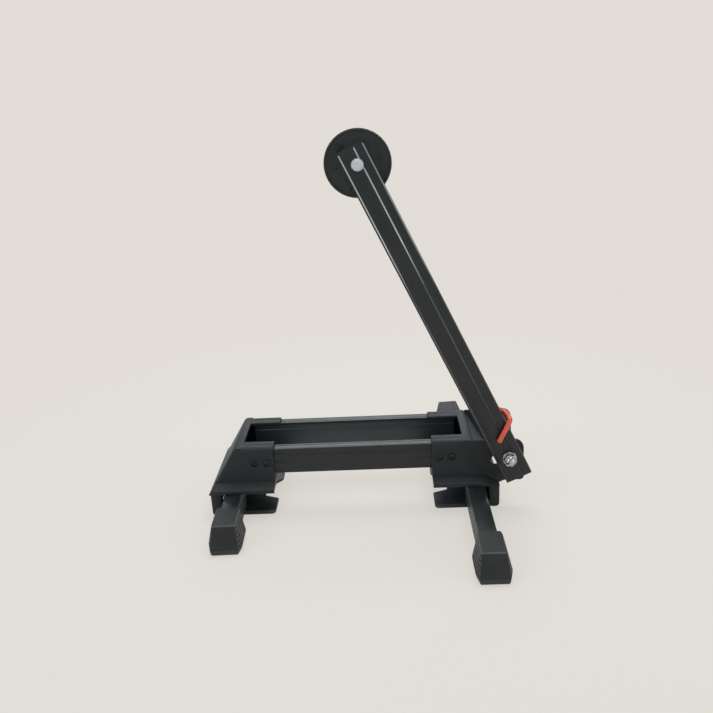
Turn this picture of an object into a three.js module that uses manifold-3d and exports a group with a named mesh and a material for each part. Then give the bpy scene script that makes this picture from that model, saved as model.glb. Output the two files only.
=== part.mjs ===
// Floor bike rack: two ribbed rails between two moulded end brackets, four swinging legs
// with rubber feet, and a leaning arm with a spoke disc, a hinge and a red-handled lock pin.
// Millimetres, +X along the rails towards the hinge, +Y away from the arm's side, +Z up.
import * as THREE from "three";
import { mergeVertices } from "three/addons/utils/BufferGeometryUtils.js";
import Module from "manifold-3d";

const wasm = await Module();
wasm.setup();

// ---------------------------------------------------------------- driving dimensions
const GAP = 0.3; // play between pieces that touch

// one hollow ribbed profile makes the rails, set on edge, and the arm
const PROFILE_WIDTH = 40;
const PROFILE_THICKNESS = 17.5;
const PROFILE_WALL = 2;
const RAIL_TOP = 105;
const RAIL_OUTER_Y = 60;
const RAIL_HALF_LENGTH = 165;
const RAIL_GROOVES = { broad: [29.7], narrow: 4.6 }; // up from the bottom edge, out from the inner face
const ARM_GROOVES = { broad: [3, 26], narrow: 6.1 }; // in from the upper edge, back from the near face

// end brackets
const BRACKET_INNER_X = 122;
const BRACKET_TOP = 109;
const PLATE_OUTER_Y = 63;
const PLATE_THICKNESS = 3 - GAP;
const LIP_INNER_Y = 37;
const RIM_INNER_X = 170;
const END_TOP_X = 182;
const END_LOW_X = 221;
const END_LOW_Z = 45;
const END_WALL = 4.7;
const WEB_BOTTOM = 44.3;
const WEB_TOP = 52.5;
const SKIRT_X = 224;
const TOP_ROUND = 6;
const SLOPE_ROUND = 5;
const RIM_END_ROUND = 8;
const EAR_EDGE_ROUND = 2.4;
const LIP_SEAM = { y: 50, width: 1, depth: 0.8 };

// flange over the legs, with its turned-down lip
const FLANGE_Y = 83;
const FLANGE_ROOT_Z = WEB_TOP; // the flange runs on from the web
const FLANGE_EDGE_Z = 47.3;
const LIP_BOTTOM = 41.6;
const LIP_THICKNESS = 2.6;
const FLANGE_TURN_X = 205;
const FLANGE_SLOPE = (FLANGE_ROOT_Z - FLANGE_EDGE_Z) / (FLANGE_Y - PLATE_OUTER_Y);
// the line where the flange's top meets the side, falling away round the corner post
const FLANGE_FALL = [[194.8, 52.8], [207, 48.4], [221, 40.1], [226, 37]];

// ears of the hinge end
const EAR_END_X = 262;
const EAR_BOTTOM = 41;
const EAR_TOP_RADIUS = 15;
const EAR_LOW_RADIUS = 6;
const EAR_HOLE = { x: 218, z: 75, r: 7 };

// corner posts
const POST = {
  topX: 201, topY: 83, middleX: 206.5, middleY: 71, middleZ: 34, footX: 209.5, footY: 70, corner: 2.2, toe: 3.5,
};

// floor plates
const FLOOR_PLATE_TOP = 3.7;
const FLOOR_PLATE_IN = 125;
const FLOOR_PLATE_OUT = 208.4;
const FLOOR_PLATE_Y = 71.5;
const FLOOR_PLATE_CREST_Y = 65;
const NOTCH_NEAR_Y = -26;
const NOTCH_FAR_Y = 43;
const FLOOR_TAB = { x: 215.5, y: 56 }; // reaches in between the corner posts to the end wall
const NOTCH_DEPTH_X = 148;
const NOTCH_FLOOR_Y = 16;

// legs
const LEG_WIDTH = 26;
const LEG_BOTTOM = 4;
const LEG_TOP = 41;
const LEG_WALL = 2;
const PIVOT_X = 186.5;
const PIVOT_Y = 49;
const NEAR_RIGHT_TOE = 280.5;
const FAR_RIGHT_TOE = 279.55;
const LEFT_TOE = 189;
const NEAR_LEFT_ANGLE = THREE.MathUtils.degToRad(1.8);
const FAR_RIGHT_ANGLE = THREE.MathUtils.degToRad(4.3);
const PIVOT_BOLT_R = 4;
const BUSH_R = 7;

// rubber feet
const FOOT = {
  length: 63.5, topLength: 52.5, height: 43.2, topHalf: 17, lowHalf: 24.5, band: 13, outboard: 2,
};
const FOOT_SOCKET = 46;

// screws through the bracket sides
const SCREW_X = [132.5, 152];
const SCREW_Z = 83;
const SCREW_R = 2.95;
const SCREW_HEAD_R = 5.25;
const SCREW_HEAD_H = 2.8;
const COUNTERBORE_R = 6.1;
const COUNTERBORE_DEPTH = 1.5;
const NUT_PLATE = { x0: 126, x1: 159, height: 14, thickness: 5 };

// arm, along +Z of its own group before it leans
const HINGE = { x: 235.4, z: 90 };
const ARM_LEAN = THREE.MathUtils.degToRad(25.16);
const ARM_NEAR_Y = -89.5;
const ARM_BELOW_HINGE = 36;
const ARM_ABOVE_HINGE = 509;
const DISC_AXLE = 483.7;
const PIN = { x: 0.8, z: 35.6 };
const ARM_BORE_R = 7.2;

// hinge fasteners
const HINGE_BOLT_R = 5;
const HINGE_NUT = { across: 17, hex: 8, dome: 7.4, tip: 13.5 };

// spoke disc
const DISC_R = 46.5;
const DISC_THICKNESS = 14;
const DISC_RIM = 3.5;
const DISC_BOSS_R = 27;
const DISC_RECESS = 1.2;
const DISC_RIBS = { count: 6, from: 29, to: 42, width: 1.3, turn: 20 };
const DISC_BUTTON_R = 8.6;
const DISC_BOLT_R = 4;

// lock pin: a bent wire with a red sleeve
const PIN_R = 2.5;
const GRIP_R = 3.75;
const PIN_TIP_Y = -65;
const GRIP_Y = -93.7;
const GRIP_RUN = 34.7;
const GRIP_ANGLE = THREE.MathUtils.degToRad(64.4);
const GRIP_RETURN = [-5, 25.8, 3];
const HOOK_RUN = 15;
const HOOK_ANGLE = THREE.MathUtils.degToRad(160);
const TIGHT_BEND = 4.1;
const WIDE_BEND = 6;
const BEND_STEPS = 5;

// ---------------------------------------------------------------- materials
const finish = (color, roughness, metalness) =>
  new THREE.MeshStandardMaterial({ color, roughness, metalness });
const anodised = () => finish(0x1f2223, 0.42, 0.6);
const moulded = () => finish(0x24282a, 0.6, 0);
const rubber = () => finish(0x1d1f20, 0.85, 0);
const blackSteel = () => finish(0x17191a, 0.4, 0.7);
const chrome = () => finish(0xd8dadc, 0.12, 1);
const zinc = () => finish(0xb4b8bb, 0.35, 0.9);
const redVinyl = () => finish(0xd9432a, 0.45, 0);
const palePlastic = () => finish(0xc3c6c8, 0.4, 0);

// ---------------------------------------------------------------- booleans
function toManifold(geometry) {
  const bare = geometry.clone();
  bare.deleteAttribute("normal");
  bare.deleteAttribute("uv");
  const merged = mergeVertices(bare, 1e-4);
  return new wasm.Manifold(
    new wasm.Mesh({
      numProp: 3,
      vertProperties: new Float32Array(merged.attributes.position.array),
      triVerts: new Uint32Array(merged.index.array),
    }),
  );
}

function fromManifold(solid) {
  const mesh = solid.getMesh();
  const geometry = new THREE.BufferGeometry();
  geometry.setAttribute("position", new THREE.BufferAttribute(new Float32Array(mesh.vertProperties), 3));
  geometry.setIndex(new THREE.BufferAttribute(new Uint32Array(mesh.triVerts), 1));
  geometry.computeVertexNormals();
  return geometry;
}

function join(first, ...rest) {
  let solid = toManifold(first);
  for (const piece of rest) solid = solid.add(toManifold(piece));
  return fromManifold(solid);
}

function cut(body, ...tools) {
  let solid = toManifold(body);
  for (const tool of tools) solid = solid.subtract(toManifold(tool));
  return fromManifold(solid);
}

function mirrored(geometry, axis) {
  const scale = new THREE.Vector3(1, 1, 1);
  scale[axis] = -1;
  const flipped = geometry.clone().applyMatrix4(new THREE.Matrix4().makeScale(scale.x, scale.y, scale.z));
  const index = flipped.index ? flipped.index.array : flipped.attributes.position.array.map((_, i) => i);
  const triangles = (flipped.index ? index.length : flipped.attributes.position.count) / 3;
  const order = [];
  for (let t = 0; t < triangles; t++) order.push(index[3 * t], index[3 * t + 2], index[3 * t + 1]);
  flipped.setIndex(order);
  return flipped;
}

// ---------------------------------------------------------------- shapes
function outline(points) {
  return new THREE.Shape(points.map(([a, b]) => new THREE.Vector2(a, b)));
}

function path(points) {
  return new THREE.Path(points.map(([a, b]) => new THREE.Vector2(a, b)));
}

// an outline whose corners are [a, b] or, rounded, [a, b, radius]
function roundedPoints(corners, steps) {
  const points = [];
  corners.forEach(([a, b, radius], i) => {
    const corner = new THREE.Vector2(a, b);
    if (!radius) {
      points.push(corner);
      return;
    }
    const before = new THREE.Vector2(...corners[(i + corners.length - 1) % corners.length].slice(0, 2));
    const after = new THREE.Vector2(...corners[(i + 1) % corners.length].slice(0, 2));
    const toBefore = before.sub(corner).normalize();
    const toAfter = after.sub(corner).normalize();
    const half = Math.acos(THREE.MathUtils.clamp(toBefore.dot(toAfter), -1, 1)) / 2;
    const reach = radius / Math.tan(half);
    const start = corner.clone().addScaledVector(toBefore, reach);
    const end = corner.clone().addScaledVector(toAfter, reach);
    const middle = toBefore.clone().add(toAfter).normalize();
    const centre = corner.clone().addScaledVector(middle, radius / Math.sin(half));
    const from = Math.atan2(start.y - centre.y, start.x - centre.x);
    let sweep = Math.atan2(end.y - centre.y, end.x - centre.x) - from;
    if (sweep > Math.PI) sweep -= 2 * Math.PI;
    if (sweep < -Math.PI) sweep += 2 * Math.PI;
    for (let s = 0; s <= steps; s++) {
      const angle = from + (sweep * s) / steps;
      points.push(new THREE.Vector2(centre.x + radius * Math.cos(angle), centre.y + radius * Math.sin(angle)));
    }
  });
  return points;
}

function rounded(corners, steps = 4) {
  return new THREE.Shape(roundedPoints(corners, steps));
}

// what a soft edge takes off a square corner at [0, 0] whose body lies at negative a and b
function edgeRelief(radius, steps = 4) {
  const points = [[1, 1], [-radius, 1]];
  for (let s = 0; s <= steps; s++) {
    const angle = (Math.PI / 2) * (1 - s / steps);
    points.push([radius * (Math.cos(angle) - 1), radius * (Math.sin(angle) - 1)]);
  }
  points.push([1, -radius]);
  return outline(points);
}

function extrude(shape, depth) {
  return new THREE.ExtrudeGeometry(shape, { depth, bevelEnabled: false, curveSegments: 6 });
}

// outline in X and Z, drawn out from y0 to y1
function alongY(shape, y0, y1) {
  return extrude(shape, y1 - y0).rotateX(Math.PI / 2).translate(0, y1, 0);
}

// outline in Y and Z, drawn out from x0 to x1
function alongX(shape, x0, x1) {
  const turn = new THREE.Matrix4().makeBasis(
    new THREE.Vector3(0, 1, 0),
    new THREE.Vector3(0, 0, 1),
    new THREE.Vector3(1, 0, 0),
  );
  return extrude(shape, x1 - x0).applyMatrix4(turn).translate(x0, 0, 0);
}

function box(x0, x1, y0, y1, z0, z1) {
  const centre = [(x0 + x1) / 2, (y0 + y1) / 2, (z0 + z1) / 2];
  return new THREE.BoxGeometry(x1 - x0, y1 - y0, z1 - z0).translate(...centre);
}

function rodAlongY(r, y0, y1, x = 0, z = 0, sides = 24) {
  return new THREE.CylinderGeometry(r, r, y1 - y0, sides).translate(x, (y0 + y1) / 2, z);
}

function rodAlongZ(r, z0, z1, x = 0, y = 0, sides = 24) {
  return new THREE.CylinderGeometry(r, r, z1 - z0, sides).rotateX(Math.PI / 2).translate(x, y, (z0 + z1) / 2);
}

// a turned piece about the Y axis, from [radius, y] points that start and end on the axis or close
function turned(points, sides = 32) {
  return new THREE.LatheGeometry(points.map(([r, y]) => new THREE.Vector2(r, y)), sides);
}

function ring(inner, outer, y0, y1, sides = 28) {
  return turned([[inner, y0], [outer, y0], [outer, y1], [inner, y1], [inner, y0]], sides);
}

// level outlines { z, corners }, alike in number and order of corners, skinned and closed
function stacked(levels, steps = 2) {
  const rings = levels.map(({ corners }) => roundedPoints(corners, steps));
  const perRing = rings[0].length;
  const positions = rings.flatMap((points, i) => points.flatMap((point) => [point.x, point.y, levels[i].z]));
  const index = [];
  for (let level = 0; level + 1 < rings.length; level++) {
    for (let i = 0; i < perRing; i++) {
      const a = level * perRing + i;
      const b = level * perRing + ((i + 1) % perRing);
      index.push(a, b, b + perRing, a, b + perRing, a + perRing);
    }
  }
  return closedEnds(positions, index, perRing, rings.length);
}

// adds flat ends to a skin of rings
function closedEnds(positions, index, perRing, ringCount) {
  const last = (ringCount - 1) * perRing;
  for (let i = 1; i + 1 < perRing; i++) {
    index.push(0, i + 1, i);
    index.push(last, last + i, last + i + 1);
  }
  const geometry = new THREE.BufferGeometry();
  geometry.setAttribute("position", new THREE.Float32BufferAttribute(positions, 3));
  geometry.setIndex(index);
  return geometry;
}

function hexPrism(across, y0, y1) {
  return new THREE.CylinderGeometry(across / Math.sqrt(3), across / Math.sqrt(3), y1 - y0, 6)
    .translate(0, (y0 + y1) / 2, 0);
}

// ---------------------------------------------------------------- scene helpers
function mesh(name, geometry, material, parent) {
  const piece = new THREE.Mesh(geometry, material);
  piece.name = name;
  parent.add(piece);
  return piece;
}

// ---------------------------------------------------------------- profiles
const GROOVE = { half: 1.3, depth: 0.9 };

// Broad faces look along the second axis. Their grooves and the narrow faces' single groove
// are placed from the profile's low edges.
function ribbedProfile(grooves) {
  const w = PROFILE_WIDTH / 2;
  const t = PROFILE_THICKNESS / 2;
  const { half, depth } = GROOVE;
  const broad = grooves.broad.map((u) => u - w);
  const narrow = grooves.narrow - t;
  const points = [[-w, -t]];
  for (const u of broad) points.push([u - half, -t], [u, -t + depth], [u + half, -t]);
  points.push([w, -t]);
  points.push([w, narrow - half], [w - depth, narrow], [w, narrow + half]);
  points.push([w, t]);
  for (const u of [...broad].reverse()) points.push([u + half, t], [u, t - depth], [u - half, t]);
  points.push([-w, t]);
  points.push([-w, narrow + half], [-w + depth, narrow], [-w, narrow - half]);
  const shape = outline(points);
  const iw = w - PROFILE_WALL;
  const it = t - PROFILE_WALL;
  shape.holes.push(path([[-iw, -it], [-iw, it], [iw, it], [iw, -it]]));
  return shape;
}

// leg profile in X and Z: smooth top and bottom, fine grooves down each side
const LEG_GROOVES = { count: 4, half: 1.6, depth: 1.2 };

function legProfile() {
  const w = LEG_WIDTH / 2;
  const { count, half, depth } = LEG_GROOVES;
  const pitch = (LEG_TOP - LEG_BOTTOM) / (count + 0.5);
  const grooves = [];
  for (let i = 0; i < count; i++) grooves.push(LEG_BOTTOM + pitch * (i + 0.75));
  const points = [[-w, LEG_BOTTOM], [w, LEG_BOTTOM]];
  for (const z of grooves) points.push([w, z - half], [w - depth, z], [w, z + half]);
  points.push([w, LEG_TOP], [-w, LEG_TOP]);
  for (const z of [...grooves].reverse()) points.push([-w, z + half], [-w + depth, z], [-w, z - half]);
  const shape = outline(points);
  const inner = w - LEG_WALL;
  const low = LEG_BOTTOM + LEG_WALL;
  const high = LEG_TOP - LEG_WALL;
  shape.holes.push(path([[-inner, low], [-inner, high], [inner, high], [inner, low]]));
  return shape;
}

// ---------------------------------------------------------------- rails
function buildRails(parent) {
  const centreZ = RAIL_TOP - PROFILE_WIDTH / 2;
  const centreY = RAIL_OUTER_Y - PROFILE_THICKNESS / 2;
  for (const [name, side] of [["near_rail", -1], ["far_rail", 1]]) {
    // the profile stands on edge, with its outer face away from the middle
    let rail = extrude(ribbedProfile(RAIL_GROOVES), 2 * RAIL_HALF_LENGTH);
    const up = new THREE.Vector3(0, 0, 1);
    const out = new THREE.Vector3(0, side, 0);
    const run = new THREE.Vector3().crossVectors(up, out);
    rail.applyMatrix4(new THREE.Matrix4().makeBasis(up, out, run));
    rail.translate(-run.x * RAIL_HALF_LENGTH, side * centreY, centreZ);
    const holes = [];
    for (const x of [...SCREW_X, ...SCREW_X.map((v) => -v)]) {
      const outer = side * RAIL_OUTER_Y;
      holes.push(rodAlongY(SCREW_R + 0.2, outer - 3, outer + 3, x, SCREW_Z, 16));
    }
    rail = cut(rail, ...holes);
    mesh(name, rail, anodised(), parent);
  }
}

// drawn for the far side, then turned about the rail's middle for the near side
function bracketScrew() {
  const seat = PLATE_OUTER_Y - COUNTERBORE_DEPTH;
  const head = seat + SCREW_HEAD_H;
  const screw = turned([
    [0, seat - 12], [SCREW_R, seat - 12], [SCREW_R, seat], [SCREW_HEAD_R, seat], [SCREW_HEAD_R, seat + 1],
    [SCREW_HEAD_R * 0.86, seat + SCREW_HEAD_H * 0.75], [SCREW_HEAD_R * 0.6, head], [0, head],
  ], 16);
  return cut(screw, hexPrism(4.6, head - 2.2, head + 1));
}

// a threaded bar inside the rail end that takes two screws
function nutPlate() {
  const y1 = RAIL_OUTER_Y - PROFILE_WALL - GAP;
  const { x0, x1, height, thickness } = NUT_PLATE;
  const bar = box(x0, x1, y1 - thickness, y1, SCREW_Z - height / 2, SCREW_Z + height / 2);
  const through = [y1 - thickness - 1, y1 + 1];
  return cut(bar, ...SCREW_X.map((x) => rodAlongY(SCREW_R + 0.15, ...through, x, SCREW_Z, 20)));
}

function buildRailFixings(parent) {
  for (const [row, side] of [["near", -1], ["far", 1]]) {
    for (const [end, way] of [["left", -1], ["right", 1]]) {
      SCREW_X.forEach((x, i) => {
        const screw = bracketScrew();
        if (side < 0) screw.rotateX(Math.PI);
        mesh(`${row}_${end}_bracket_screw_${i + 1}`, screw.translate(way * x, 0, SCREW_Z), blackSteel(), parent);
      });
      let plate = nutPlate();
      if (side < 0) plate = mirrored(plate, "y");
      if (way < 0) plate = mirrored(plate, "x");
      mesh(`${row}_${end}_nut_plate`, plate, zinc(), parent);
    }
  }
}

// ---------------------------------------------------------------- end brackets
// Drawn for the +X end and mirrored for the other.
function bracketSideOutline(withEar) {
  const corners = [[BRACKET_INNER_X, WEB_BOTTOM], [BRACKET_INNER_X, BRACKET_TOP, 2]];
  if (withEar) {
    corners.push([EAR_END_X - 1, BRACKET_TOP, EAR_TOP_RADIUS], [EAR_END_X, EAR_BOTTOM, EAR_LOW_RADIUS]);
    corners.push([SKIRT_X + 8, EAR_BOTTOM], [SKIRT_X - 1, EAR_BOTTOM - 4], [SKIRT_X - 6, EAR_BOTTOM - 4]);
  } else {
    corners.push([END_TOP_X, BRACKET_TOP, RIM_END_ROUND], [END_LOW_X, END_LOW_Z], [SKIRT_X - 1, END_LOW_Z - 4]);
  }
  corners.push([FLANGE_TURN_X, WEB_BOTTOM]);
  return rounded(corners.reverse(), 5);
}

function endWall() {
  const slope = (END_LOW_X - END_TOP_X) / (BRACKET_TOP - END_LOW_Z);
  const rimBottom = BRACKET_TOP - 4;
  const innerAtRim = END_TOP_X - END_WALL + slope * (BRACKET_TOP - rimBottom);
  return rounded([
    [RIM_INNER_X, BRACKET_TOP], [RIM_INNER_X, rimBottom], [innerAtRim, rimBottom],
    [END_LOW_X - END_WALL, END_LOW_Z], [END_LOW_X - END_WALL, POST.toe], [SKIRT_X, POST.toe],
    [SKIRT_X, END_LOW_Z - 4], [END_LOW_X, END_LOW_Z], [END_TOP_X, BRACKET_TOP, RIM_END_ROUND],
  ], 5);
}

function flangeSection() {
  const inner = LIP_INNER_Y + 3;
  return rounded([
    [inner, WEB_TOP], [inner, WEB_BOTTOM], [FLANGE_Y - LIP_THICKNESS, WEB_BOTTOM],
    [FLANGE_Y - LIP_THICKNESS, LIP_BOTTOM], [FLANGE_Y, LIP_BOTTOM], [FLANGE_Y, FLANGE_EDGE_Z, 2],
    [PLATE_OUTER_Y, FLANGE_ROOT_Z],
  ], 3);
}

// a corner post: wide under the flange, leaning in and narrowing to the floor
function cornerPost(topZ) {
  const inside = PLATE_OUTER_Y - 6;
  const level = (z, x0, y, x1 = SKIRT_X) => {
    const r = POST.corner;
    return { z, corners: [[x1, -inside, r], [x0, -inside, r], [x0, -y, r], [x1, -y, r]] };
  };
  return stacked([
    level(0, POST.footX, POST.footY, SKIRT_X - POST.toe),
    level(POST.toe / 3, POST.footX, POST.footY, SKIRT_X - POST.toe / 3),
    level(POST.toe, POST.footX, POST.footY),
    level(POST.middleZ, POST.middleX, POST.middleY),
    level(LIP_BOTTOM, POST.topX, POST.topY),
    level(topZ, POST.topX, POST.topY),
  ]);
}

// all that lies beyond the sloping end's outer face, on the near side
function beyondSlope() {
  const low = END_LOW_Z - 4;
  const far = SKIRT_X + 20;
  return alongY(outline([
    [SKIRT_X, low], [far, low], [far, BRACKET_TOP], [END_TOP_X, BRACKET_TOP], [END_LOW_X, END_LOW_Z],
  ]), -FLANGE_Y - 4, 0);
}

// clears all above the flange's falling top, on the near side
function flangeRelief() {
  const [startX, startZ] = FLANGE_FALL[0];
  const above = [[SKIRT_X + 2, FLANGE_ROOT_Z + 8], [startX - 3, FLANGE_ROOT_Z + 8], [startX - 3, startZ + 1]];
  const relief = alongY(outline([...above, ...FLANGE_FALL]), -FLANGE_Y - 4, -PLATE_OUTER_Y);
  const lean = new THREE.Matrix4().makeShear(0, 0, 0, FLANGE_SLOPE, 0, 0);
  return relief.applyMatrix4(lean).translate(0, 0, FLANGE_SLOPE * PLATE_OUTER_Y);
}

// rounds the near corner of the sloping end, down to just above the flange
function slopeRelief() {
  const down = new THREE.Vector3(END_LOW_X - END_TOP_X, 0, END_LOW_Z - BRACKET_TOP).normalize();
  const out = new THREE.Vector3(-down.z, 0, down.x);
  const turn = new THREE.Matrix4().makeBasis(out, new THREE.Vector3(0, -1, 0), down);
  const above = 8;
  const run = (BRACKET_TOP - FLANGE_ROOT_Z - 3) / -down.z;
  return extrude(edgeRelief(SLOPE_ROUND), run + above)
    .translate(0, 0, -above)
    .applyMatrix4(turn)
    .translate(END_TOP_X, -PLATE_OUTER_Y, BRACKET_TOP);
}

// rounds a stretch of the near side's long top edge
function topRelief(radius, x0, x1) {
  return mirrored(alongX(edgeRelief(radius), x0, x1).translate(0, PLATE_OUTER_Y, BRACKET_TOP), "y");
}

function nearSide(withEar) {
  const y0 = -PLATE_OUTER_Y;
  const y1 = -PLATE_OUTER_Y + PLATE_THICKNESS;
  const lip = rounded([
    [-PLATE_OUTER_Y, RAIL_TOP + GAP], [-LIP_INNER_Y, RAIL_TOP + GAP], [-LIP_INNER_Y, BRACKET_TOP, 1.5],
    [-PLATE_OUTER_Y, BRACKET_TOP],
  ]);
  const flangeEnd = withEar ? FLANGE_TURN_X + 2 : SKIRT_X;
  const flange = mirrored(alongX(flangeSection(), BRACKET_INNER_X, flangeEnd), "y");
  const post = cornerPost(withEar ? FLANGE_ROOT_Z + 1 : WEB_BOTTOM + 1);
  const trims = withEar ? [beyondSlope(), flangeRelief()] : [beyondSlope()];
  const near = join(
    alongY(bracketSideOutline(withEar), y0, y1),
    alongX(lip, BRACKET_INNER_X, RIM_INNER_X + 1),
    cut(join(flange, post), ...trims),
  );
  const screwHoles = SCREW_X.flatMap((x) => [
    rodAlongY(COUNTERBORE_R, y0 - 1, y0 + COUNTERBORE_DEPTH, x, SCREW_Z),
    rodAlongY(SCREW_R + 0.2, y0 - 1, y1 + 1, x, SCREW_Z, 16),
  ]);
  const seamY = -LIP_SEAM.y;
  const seam = box(BRACKET_INNER_X - 1, RIM_INNER_X - 1, seamY - LIP_SEAM.width / 2, seamY + LIP_SEAM.width / 2,
    BRACKET_TOP - LIP_SEAM.depth, BRACKET_TOP + 1);
  const edges = [topRelief(TOP_ROUND, BRACKET_INNER_X - 1, END_TOP_X + 2)];
  if (withEar) edges.push(topRelief(EAR_EDGE_ROUND, END_TOP_X, EAR_END_X - EAR_TOP_RADIUS));
  return cut(near, ...screwHoles, seam, ...edges);
}

// the level floor between the walls, which runs into the sloping end wall
function webSection() {
  const bite = 2;
  const slope = (END_LOW_X - END_TOP_X) / (BRACKET_TOP - END_LOW_Z);
  return outline([
    [BRACKET_INNER_X, WEB_BOTTOM], [END_LOW_X - bite, WEB_BOTTOM], [END_LOW_X - bite, END_LOW_Z],
    [END_TOP_X - bite + slope * (BRACKET_TOP - WEB_TOP), WEB_TOP], [BRACKET_INNER_X, WEB_TOP],
  ]);
}

function bracket(withEar) {
  let near = nearSide(withEar);
  const far = mirrored(near, "y");
  if (withEar) {
    const through = [-PLATE_OUTER_Y - 1, -PLATE_OUTER_Y + PLATE_THICKNESS + 1];
    near = cut(near, rodAlongY(EAR_HOLE.r, ...through, EAR_HOLE.x, EAR_HOLE.z, 24),
      rodAlongY(HINGE_BOLT_R + 0.2, ...through, HINGE.x, HINGE.z, 24));
  }
  const web = alongY(webSection(), -LIP_INNER_Y - 6, LIP_INNER_Y + 6);
  const wall = alongY(endWall(), -PLATE_OUTER_Y + 1, PLATE_OUTER_Y - 1);
  let whole = join(near, far, web, wall);
  if (!withEar) whole = cut(whole, slopeRelief(), mirrored(slopeRelief(), "y"));
  const pivots = [-1, 1].map((side) =>
    rodAlongZ(PIVOT_BOLT_R + 0.2, WEB_BOTTOM - 1, WEB_TOP + 1, PIVOT_X, side * PIVOT_Y));
  return cut(whole, ...pivots);
}

function buildBrackets(parent) {
  mesh("right_end_bracket", bracket(true), moulded(), parent);
  mesh("left_end_bracket", mirrored(bracket(false), "x"), moulded(), parent);
}

// ---------------------------------------------------------------- floor plates
// a thin plate with a notch towards the middle and edges that slope up from the floor
function floorPlate() {
  const bevel = 0.5;
  const half = FLOOR_PLATE_Y - bevel;
  const plan = rounded([
    [FLOOR_PLATE_IN, -half, 6], [FLOOR_PLATE_OUT, -half], [FLOOR_PLATE_OUT, -FLOOR_TAB.y],
    [FLOOR_TAB.x, -FLOOR_TAB.y], [FLOOR_TAB.x, FLOOR_TAB.y],
    [FLOOR_PLATE_OUT, FLOOR_TAB.y], [FLOOR_PLATE_OUT, half], [FLOOR_PLATE_IN, half, 6],
    [FLOOR_PLATE_IN, NOTCH_FAR_Y, 10], [NOTCH_DEPTH_X, NOTCH_FLOOR_Y, 5], [NOTCH_DEPTH_X, -NOTCH_FLOOR_Y, 5],
    [FLOOR_PLATE_IN, NOTCH_NEAR_Y, 2],
  ], 4);
  const plate = new THREE.ExtrudeGeometry(plan, {
    depth: FLOOR_PLATE_TOP - 2 * bevel,
    bevelEnabled: true,
    bevelThickness: bevel,
    bevelSize: bevel,
    bevelSegments: 1,
    curveSegments: 4,
  }).translate(0, 0, bevel);
  const edge = outline([
    [-FLOOR_PLATE_Y - 1, 0.6], [-FLOOR_PLATE_Y, 0.6], [-FLOOR_PLATE_CREST_Y, FLOOR_PLATE_TOP + 0.01],
    [-FLOOR_PLATE_CREST_Y, FLOOR_PLATE_TOP + 1], [-FLOOR_PLATE_Y - 1, FLOOR_PLATE_TOP + 1],
  ]);
  const slope = alongX(edge, FLOOR_PLATE_IN - 2, FLOOR_PLATE_OUT + 2);
  const bores = [-1, 1].map((s) => rodAlongZ(5.9, -1, 5, PIVOT_X, s * PIVOT_Y));
  return cut(plate, slope, mirrored(slope, "y"), ...bores);
}

function buildFloorPlates(parent) {
  mesh("right_floor_plate", floorPlate(), moulded(), parent);
  mesh("left_floor_plate", mirrored(floorPlate(), "x"), moulded(), parent);
}

// ---------------------------------------------------------------- leg pivots
// A bolt down through the bracket's web, the leg's bush and the floor plate's clinch nut.
function pivotBolt() {
  const head = WEB_TOP + GAP;
  const bolt = turned([
    [0, 0.5], [PIVOT_BOLT_R, 0.5], [PIVOT_BOLT_R, head], [7, head], [7, head + 1.8],
    [5.4, head + 3.8], [3.4, head + 4.3], [0, head + 4.3],
  ], 16);
  return cut(bolt, hexPrism(5, head + 2, head + 6)).rotateX(Math.PI / 2);
}

function buildPivots(parent) {
  for (const [row, sideY] of [["near", -1], ["far", 1]]) {
    for (const [end, sideX] of [["left", -1], ["right", 1]]) {
      const spot = [sideX * PIVOT_X, sideY * PIVOT_Y, 0];
      mesh(`${row}_${end}_pivot_bolt`, pivotBolt().translate(...spot), blackSteel(), parent);
      const nut = ring(PIVOT_BOLT_R + 0.15, 5.6, 0.3, FLOOR_PLATE_TOP - 0.2, 20).rotateX(Math.PI / 2);
      mesh(`${row}_${end}_pivot_clinch_nut`, nut.translate(...spot), zinc(), parent);
      const bush = ring(PIVOT_BOLT_R + 0.15, BUSH_R, LEG_BOTTOM, WEB_BOTTOM - GAP, 24).rotateX(Math.PI / 2);
      mesh(`${row}_${end}_pivot_bush`, bush.translate(...spot), zinc(), parent);
    }
  }
}

// ---------------------------------------------------------------- legs
// Drawn pointing along -Y from the pivot at the group's origin.
function buildLeg(name, toeY, sideX, sideY, angle, parent) {
  const group = new THREE.Group();
  group.position.set(sideX * PIVOT_X, sideY * PIVOT_Y, 0);
  group.rotation.z = (sideY > 0 ? Math.PI : 0) + angle;
  parent.add(group);

  const toe = PIVOT_Y - toeY;
  const back = toe + FOOT.length;
  const tail = LEG_WIDTH / 2;
  const span = [LEG_BOTTOM - 1, LEG_TOP + 1];
  const tailRod = rodAlongZ(tail, span[0] - 1, span[1] + 1, 0, 0, 32);
  const round = cut(box(-tail - 1, tail + 1, 0, tail + 1, ...span), tailRod);
  const bore = rodAlongZ(BUSH_R + 0.2, ...span);
  const tube = cut(alongY(legProfile(), back - FOOT_SOCKET + GAP, tail), round, bore);
  mesh(`${name}_leg`, tube, anodised(), group);
  mesh(`${name}_foot`, foot(back, -sideX * sideY * FOOT.outboard), rubber(), group);
}

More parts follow.
